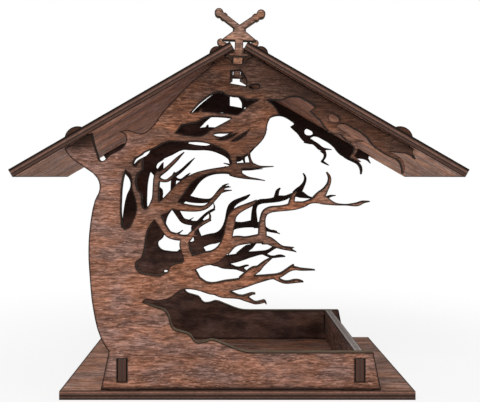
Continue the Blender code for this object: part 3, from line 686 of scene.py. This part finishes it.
class Tree:
    """A Geometry Nodes tree under construction."""

    def __init__(self, name):
        self.group = bpy.data.node_groups.new(name, "GeometryNodeTree")
        self.source = self.group.nodes.new("NodeGroupInput")
        self.result = self.group.nodes.new("NodeGroupOutput")
        self.identifiers = {}

    def take(self, name, kind):
        socket = self.group.interface.new_socket(name, in_out="INPUT", socket_type=kind)
        self.identifiers[name] = socket.identifier

    def given(self, name):
        return self.source.outputs[name]

    def node(self, kind, settings=None, **inputs):
        node = self.group.nodes.new(kind)
        for key, value in (settings or {}).items():
            setattr(node, key, value)
        for key, value in inputs.items():
            self.feed(node, key.replace("_", " "), value)
        return node

    def feed(self, node, key, value):
        socket = node.inputs[int(key)] if key.isdigit() else node.inputs[key]
        if isinstance(value, bpy.types.NodeSocket):
            self.group.links.new(value, socket)
        else:
            socket.default_value = value

    def sums(self, operation, first, second):
        node = self.node("ShaderNodeMath", {"operation": operation})
        self.feed(node, "0", first)
        self.feed(node, "1", second)
        return node.outputs[0]

    def scaled(self, vector, factor):
        node = self.node("ShaderNodeVectorMath", {"operation": "SCALE"})
        self.feed(node, "0", vector)
        self.feed(node, "Scale", factor)
        return node.outputs[0]

    def named(self, name, kind="FLOAT"):
        node = self.node("GeometryNodeInputNamedAttribute", {"data_type": kind})
        node.inputs["Name"].default_value = name
        return node.outputs["Attribute"]

    def keep(self, mesh, name, kind, domain, value):
        node = self.node("GeometryNodeStoreNamedAttribute",
                         {"data_type": kind, "domain": domain}, Geometry=mesh, Value=value)
        node.inputs["Name"].default_value = name
        return node.outputs[0]


def board_tree():
    """Outline carried through the sheet, arrises eased, cut edges and glue lines finished."""
    tree = Tree("Sawn board")
    group = tree.group
    group.interface.new_socket("Outline", in_out="INPUT", socket_type="NodeSocketGeometry")
    group.interface.new_socket("Board", in_out="OUTPUT", socket_type="NodeSocketGeometry")
    tree.take("Through", "NodeSocketVector")
    for name in ("Front", "Thickness", "Arris", "Glue line", "Glue proud"):
        tree.take(name, "NodeSocketFloat")
    tree.take("Plies", "NodeSocketInt")
    for name in ("Face finish", "Cut finish", "Glue finish"):
        tree.take(name, "NodeSocketMaterial")
    outline = tree.given("Outline")
    through = tree.given("Through")
    thickness = tree.given("Thickness")

    rise = tree.scaled(through, tree.sums("MULTIPLY", thickness, -1.0))
    body = tree.node("GeometryNodeExtrudeMesh", {"mode": "FACES"}, Mesh=outline, Offset=rise,
                     Offset_Scale=1.0, Individual=False)
    walls = tree.keep(body.outputs["Mesh"], "cut", "BOOLEAN", "FACE", body.outputs["Side"])
    back = tree.node("GeometryNodeFlipFaces", Mesh=outline)
    joined = tree.node("GeometryNodeJoinGeometry")
    group.links.new(walls, joined.inputs[0])
    group.links.new(back.outputs[0], joined.inputs[0])
    welded = tree.node("GeometryNodeMergeByDistance", Geometry=joined.outputs[0],
                       Distance=WELD)
    place = tree.node("GeometryNodeInputPosition")
    depth = tree.node("ShaderNodeVectorMath", {"operation": "DOT_PRODUCT"})
    tree.feed(depth, "0", place.outputs[0])
    tree.feed(depth, "1", through)
    depth = tree.sums("SUBTRACT", depth.outputs["Value"], tree.given("Front"))
    share = tree.sums("DIVIDE", depth, thickness)
    marked = tree.keep(welded.outputs[0], "through", "FLOAT", "POINT", share)
    on_edge = tree.sums("LESS_THAN", tree.named("rim"), WELD)
    side = tree.sums("SUBTRACT", 1.0, tree.sums("MULTIPLY", tree.named("through"), 2.0))
    ease = tree.scaled(through, tree.sums("MULTIPLY", side, tree.given("Arris")))
    eased = tree.node("GeometryNodeSetPosition", Geometry=marked, Selection=on_edge, Offset=ease)
    faced = tree.node("GeometryNodeSetMaterial", Geometry=eased.outputs[0],
                      Material=tree.given("Face finish"))
    cut = tree.node("GeometryNodeSetMaterial", Geometry=faced.outputs[0],
                    Selection=tree.named("cut", "BOOLEAN"), Material=tree.given("Cut finish"))

    neighbours = tree.node("GeometryNodeInputMeshEdgeNeighbors")
    lone = tree.sums("COMPARE", neighbours.outputs[0], 1.0)
    height = tree.given("Glue line")
    strip = tree.node("GeometryNodeExtrudeMesh", {"mode": "EDGES"}, Mesh=outline, Selection=lone,
                      Offset=tree.scaled(through, height), Offset_Scale=1.0)
    ribbon = tree.node("GeometryNodeSeparateGeometry", {"domain": "FACE"},
                       Geometry=strip.outputs["Mesh"], Selection=strip.outputs["Side"])
    proud = tree.scaled(tree.named("out", "FLOAT_VECTOR"), tree.given("Glue proud"))
    lifted = tree.node("GeometryNodeSetPosition", Geometry=ribbon.outputs[0], Offset=proud)
    pitch = tree.sums("DIVIDE", thickness, tree.given("Plies"))
    step = tree.scaled(through, tree.sums("MULTIPLY", pitch, -1.0))
    first = tree.sums("MULTIPLY", tree.sums("ADD", pitch, tree.sums("DIVIDE", height, 2.0)), -1.0)
    lines = tree.node("GeometryNodeMeshLine", {"mode": "OFFSET"},
                      Count=tree.sums("SUBTRACT", tree.given("Plies"), 1.0), Offset=step)
    tree.feed(lines, "Start Location", tree.scaled(through, first))
    placed = tree.node("GeometryNodeInstanceOnPoints", Points=lines.outputs[0],
                       Instance=lifted.outputs[0])
    glued = tree.node("GeometryNodeRealizeInstances", Geometry=placed.outputs[0])
    glue = tree.node("GeometryNodeSetMaterial", Geometry=glued.outputs[0],
                     Material=tree.given("Glue finish"))
    both = tree.node("GeometryNodeJoinGeometry")
    group.links.new(glue.outputs[0], both.inputs[0])
    group.links.new(cut.outputs[0], both.inputs[0])
    group.links.new(both.outputs[0], tree.result.inputs[0])
    return tree


def sawn_board(name, node, grain, face, edge):
    """A dressed board in the place of its CAD node."""
    props = bpy.context.scene.feeder_boards
    axes = board_axes(node, Vector(grain))
    mesh = sawn_sheet(f"{name}_outline", node, axes)
    holder = bpy.data.objects.new(f"{name}_outline", mesh)
    bpy.context.scene.collection.objects.link(holder)
    tree = board_tree()
    modifier = holder.modifiers.new("Sawn board", "NODES")
    modifier.node_group = tree.group
    inputs = {
        "Through": tuple(axes[2]), "Front": axes[3], "Thickness": axes[4],
        "Arris": props.arris, "Glue line": props.glue_line, "Glue proud": GLUE_PROUD,
        "Plies": props.plies, "Face finish": face, "Cut finish": edge,
        "Glue finish": bpy.data.materials.get("glue_line") or glue_finish(),
    }
    for key, value in inputs.items():
        modifier[tree.identifiers[key]] = value
    bpy.context.view_layer.update()
    graph = bpy.context.evaluated_depsgraph_get()
    plain = bpy.data.meshes.new_from_object(
        holder.evaluated_get(graph), preserve_all_data_layers=True, depsgraph=graph)
    plain.name = name
    bpy.data.objects.remove(holder)
    bpy.data.node_groups.remove(tree.group)
    if len(plain.polygons) < 12:
        raise RuntimeError(f"{name} has no body")
    if "out" in plain.attributes:
        plain.attributes.remove(plain.attributes["out"])
    piece = bpy.data.objects.new(name, plain)
    bpy.context.scene.collection.objects.link(piece)
    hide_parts(node)
    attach(piece, BODY)
    return piece


# One operator for each kind of board


class FEEDER_OT_base_board(bpy.types.Operator):
    """Make the base board with the slots for the panels' lower tabs"""

    bl_idname = "feeder.base_board"
    bl_label = "Base board"

    def execute(self, context):
        colours = context.scene.feeder_finish
        # Pools of painted shade darken the base board on the right and over the middle
        face = stained_face("base_veneer", tuple(colours.board_stain), (0, 0, 0), wander=2.0,
                            burn=2.4, fibres=(15.0, 2.2), bands=(60.0, 9.0),
                            shade_pools=BASE_SHADE_POOLS)
        edge = cut_edge("base_cut", (0, 0, 0), BASE_PLY, tuple(colours.cut_wood), burn=0.2)
        sawn_board("base_board", "base_plate", (1, 0, 0), face, edge)
        return {"FINISHED"}


class FEEDER_OT_end_panels(bpy.types.Operator):
    """Make the front and back panels, each a sawn tree with a bird"""

    bl_idname = "feeder.end_panels"
    bl_label = "End panels"

    def execute(self, context):
        colours = context.scene.feeder_finish
        stain = tuple(colours.panel_stain)
        # Painted shade on the faces that look into the feeder: lighter low in the tray, dark
        # above it and a little lighter near the top
        low, high = tuple(colours.inner_shade_low), tuple(colours.inner_shade_high)
        painted_lighter = tone(high, (1.8, 2.3, 2.7))
        light_and_shade_by_height = ((60, low), (115, high), (125, high), (165, painted_lighter))
        # The cut edges get painted shade, blacker higher up
        edge = cut_edge("panel_cut", (0, 0, 0), THREE_PLY, tuple(colours.cut_fretwork), burn=0.2,
                        shade=(50, 95, 0.88))
        # shade and eaves_shade here are painted shade: the upper part of the tree panels darker,
        # most of all below the right roof board
        wood = {"shade": (138, 206, 0.72), "burn": 1.35, "fibres": (7.5, 1.0),
                "bands": (60.0, 5.5), "warm": WARM_STAIN, "eaves_shade": EAVES_SHADE}
        front = stained_face("front_veneer", stain, (0, 0, 0), inner_light_and_shade=(1, light_and_shade_by_height, 1.0),
                             shade_pools=FRONT_SHADE_POOLS, clean=CLEAN_RIM, **wood)
        back = stained_face("back_veneer", stain, (0, 0, 0), inner_light_and_shade=(0, light_and_shade_by_height, 1.0),
                            shade_pools=BACK_SHADE_POOLS, **wood)
        grain = (1, 0, 0)
        sawn_board("front_tree", "front_panel", grain, front, edge)
        sawn_board("back_tree", "back_panel", grain, back, edge)
        return {"FINISHED"}


class FEEDER_OT_tray_walls(bpy.types.Operator):
    """Make the two low tray walls with their tenons"""

    bl_idname = "feeder.tray_walls"
    bl_label = "Tray walls"

    def execute(self, context):
        turn = (0, 0, math.radians(-90))
        colours = context.scene.feeder_finish
        face = stained_face("wall_veneer", tuple(colours.wall_stain), turn, wander=1.5, burn=0.8)
        edge = cut_edge("wall_cut", turn, WALL_PLY, tone(colours.cut_wood, 0.5), burn=0.2,
                        upward_lift=1.0)
        for side in ("left", "right"):
            sawn_board(f"tray_wall_{side}", f"side_wall_{side}", (0, 1, 0), face, edge)
        return {"FINISHED"}


class FEEDER_OT_roof_boards(bpy.types.Operator):
    """Make the two roof boards with the slots for the panels' upper tabs"""

    bl_idname = "feeder.roof_boards"
    bl_label = "Roof boards"

    def execute(self, context):
        colours = context.scene.feeder_finish
        stain = tuple(colours.roof_stain)
        under = tuple(colours.underside_painted_light)
        # Painted light on the undersides of the roof boards: lighter than the tops, the right
        # board's lighter still low down. Painted shade darkens both boards towards the ridge
        for side, pitch, painted_lighter in (("left", ROOF_PITCH, 1.28), ("right", -ROOF_PITCH, 1.66)):
            turn = (0, math.radians(pitch), 0)
            light_and_shade_by_height = ((140, tone(under, painted_lighter)), (190, tone(under, (1.50, 1.20, 1.08))))
            face = stained_face(f"roof_{side}_veneer", stain, turn, wander=2.5,
                                inner_light_and_shade=(1, light_and_shade_by_height, 0.0), shade=(145, 215, 0.6), burn=3.2,
                                fibres=(9.0, 1.8), bands=(90.0, 15.0))
            edge = cut_edge(f"roof_{side}_cut", turn, ROOF_PLY, tuple(colours.cut_wood),
                            burn=0.2)
            sawn_board(f"roof_board_{side}", f"roof_{side}", (1, 0, 0), face, edge)
        return {"FINISHED"}


class FEEDER_OT_ridge_clips(bpy.types.Operator):
    """Make the crossed clips that lock the roof boards at the ridge"""

    bl_idname = "feeder.ridge_clips"
    bl_label = "Ridge clips"

    def execute(self, context):
        colours = context.scene.feeder_finish
        # Painted shade: the clips darker at the bottom, between the roof boards
        face = stained_face("clip_veneer", tuple(colours.clip_stain), (0, 0, 0), wander=1.0,
                            shade=(214, 203, 0.7), burn=0.8)
        edge = cut_edge("clip_cut", (0, 0, 0), THREE_PLY, tuple(colours.cut_fretwork), burn=0.4)
        for end in ("front", "back"):
            sawn_board(f"crossed_clip_{end}", f"ridge_clip_{end}", (1, 0, 0), face, edge)
        return {"FINISHED"}


# The ground: half its width, how far it lies below the base board, its colour, and half the
# width and depth of what the board covers, in metres
FLOOR_REACH = 6.0
FLOOR_DROP = 0.0002
FLOOR_GREY = (0.86, 0.86, 0.86)
COVERED = (0.105, 0.074)
# The lights: place, what they look at, size and tint
KEY = ((-0.45, -0.95, 1.05), (0, 0, 0.10), (0.8, 0.6), (1.0, 0.98, 0.95))
FILL = ((0.75, -0.45, 0.30), (0, 0, 0.12), (0.5, 0.5), (0.95, 0.98, 1.0))
# The camera: place, focal length and sensor width in millimetres, and how far it is shifted
EYE = (-0.0056, -0.526, 0.1341)
LENS = 56.25
SENSOR = 36.0
SHIFT = (0.025, -0.051)


def soft_light(name, place, aim, size, tint, power):
    lamp = bpy.data.lights.new(name, "AREA")
    lamp.shape = "RECTANGLE"
    lamp.size, lamp.size_y = size
    lamp.color = tint
    lamp.energy = power
    holder = bpy.data.objects.new(name, lamp)
    bpy.context.scene.collection.objects.link(holder)
    holder.location = place
    holder.rotation_euler = (Vector(aim) - Vector(place)).to_track_quat("-Z", "Y").to_euler()


def seen_by_eye(finish):
    """1 for rays from the camera, in gloss or through glass, and 0 for the light itself."""
    path = finish.nodes.new("ShaderNodeLightPath").outputs
    gloss = finish.maths("MAXIMUM", path["Is Camera Ray"], path["Is Glossy Ray"])
    return finish.maths("MAXIMUM", gloss, path["Is Transmission Ray"])


def either_shader(finish, share, first, second, result):
    """The second shader by its share, else the first one, sent to the result."""
    choice = finish.nodes.new("ShaderNodeMixShader")
    for socket, value in zip(choice.inputs, (share, first.outputs[0], second.outputs[0])):
        finish.links.new(value, socket)
    finish.links.new(choice.outputs[0], result.inputs[0])


def white_world(strength):
    finish = Finish(bpy.data.worlds.new("studio"))
    bpy.context.scene.world = finish.owner
    finish.nodes.clear()
    light = finish.nodes.new("ShaderNodeBackground")
    light.inputs["Strength"].default_value = strength
    white = finish.nodes.new("ShaderNodeBackground")
    for background in (light, white):
        background.inputs["Color"].default_value = (1, 1, 1, 1)
    result = finish.nodes.new("ShaderNodeOutputWorld")
    either_shader(finish, seen_by_eye(finish), light, white, result)


def white_floor(amount, fade):
    """Matt white ground that keeps a faint shadow and turns to plain white further off. Under
    the base board it doesn't glow, so that the board's slots stay dark."""
    finish = Finish(bpy.data.materials.new("studio_floor"))
    finish.nodes.clear()
    matt = finish.nodes.new("ShaderNodeBsdfDiffuse")
    matt.inputs["Color"].default_value = (*FLOOR_GREY, 1)
    white = finish.nodes.new("ShaderNodeEmission")
    place = finish.nodes.new("ShaderNodeTexCoord").outputs["Object"]
    whiter = finish.rise(finish.vector("LENGTH", place), fade * 0.25, fade, amount, 1.0)
    beside = [finish.maths("GREATER_THAN", finish.maths("ABSOLUTE", part), half)
              for part, half in zip(finish.parts(place), COVERED)]
    share = finish.maths("MULTIPLY", seen_by_eye(finish), whiter)
    share = finish.maths("MULTIPLY", share, finish.maths("MAXIMUM", *beside))
    result = finish.nodes.new("ShaderNodeOutputMaterial")
    either_shader(finish, share, matt, white, result)
    return finish.owner


class FEEDER_OT_stage(bpy.types.Operator):
    """Make the white ground, the soft lights and the camera"""

    bl_idname = "feeder.stage"
    bl_label = "Stage"

    def execute(self, context):
        scene = context.scene
        props = scene.feeder_stage
        mesh = bpy.data.meshes.new("floor")
        corners = [(x * FLOOR_REACH, y * FLOOR_REACH, -FLOOR_DROP)
                   for x, y in ((-1, -1), (1, -1), (1, 1), (-1, 1))]
        mesh.from_pydata(corners, [], [(0, 1, 2, 3)])
        mesh.materials.append(white_floor(props.floor_white, props.floor_fade))
        floor = bpy.data.objects.new("floor", mesh)
        scene.collection.objects.link(floor)
        white_world(props.sky)
        soft_light("key", *KEY, props.key_power)
        soft_light("fill", *FILL, props.fill_power)
        lens = bpy.data.cameras.new("camera")
        lens.sensor_width = SENSOR
        lens.lens = LENS
        lens.shift_x, lens.shift_y = SHIFT
        lens.clip_start = 0.01
        camera = bpy.data.objects.new("camera", lens)
        scene.collection.objects.link(camera)
        camera.location = EYE
        camera.rotation_euler = (math.radians(90), 0, 0)
        scene.camera = camera
        scene.view_settings.view_transform = "Standard"
        return {"FINISHED"}


class FEEDER_PT_sidebar(bpy.types.Panel):
    """Lists the feeder's pieces with their sizes and colours"""

    bl_idname = "FEEDER_PT_sidebar"
    bl_label = "Bird feeder"
    bl_space_type = "VIEW_3D"
    bl_region_type = "UI"
    bl_category = "Feeder"

    def draw(self, context):
        scene = context.scene
        for group in (scene.feeder_boards, scene.feeder_finish, scene.feeder_stage):
            box = self.layout.box()
            for name in group.bl_rna.properties.keys():
                if name not in ("rna_type", "name"):
                    box.prop(group, name)
        for operator in OPERATORS:
            self.layout.operator(operator.bl_idname)


GROUPS = {
    "feeder_boards": FeederBoards,
    "feeder_finish": FeederFinish,
    "feeder_stage": FeederStage,
}
OPERATORS = (
    FEEDER_OT_stage,
    FEEDER_OT_base_board,
    FEEDER_OT_end_panels,
    FEEDER_OT_tray_walls,
    FEEDER_OT_roof_boards,
    FEEDER_OT_ridge_clips,
)


def register():
    for kind in (*GROUPS.values(), *OPERATORS, FEEDER_PT_sidebar):
        bpy.utils.register_class(kind)
    for name, kind in GROUPS.items():
        setattr(bpy.types.Scene, name, PointerProperty(type=kind))


def unregister():
    for name in GROUPS:
        delattr(bpy.types.Scene, name)
    for kind in (FEEDER_PT_sidebar, *OPERATORS[::-1], *GROUPS.values()):
        bpy.utils.unregister_class(kind)


def main():
    register()
    bpy.ops.feeder.stage()
    bpy.ops.feeder.base_board()
    bpy.ops.feeder.end_panels()
    bpy.ops.feeder.tray_walls()
    bpy.ops.feeder.roof_boards()
    bpy.ops.feeder.ridge_clips()


if __name__ == "__main__":
    main()
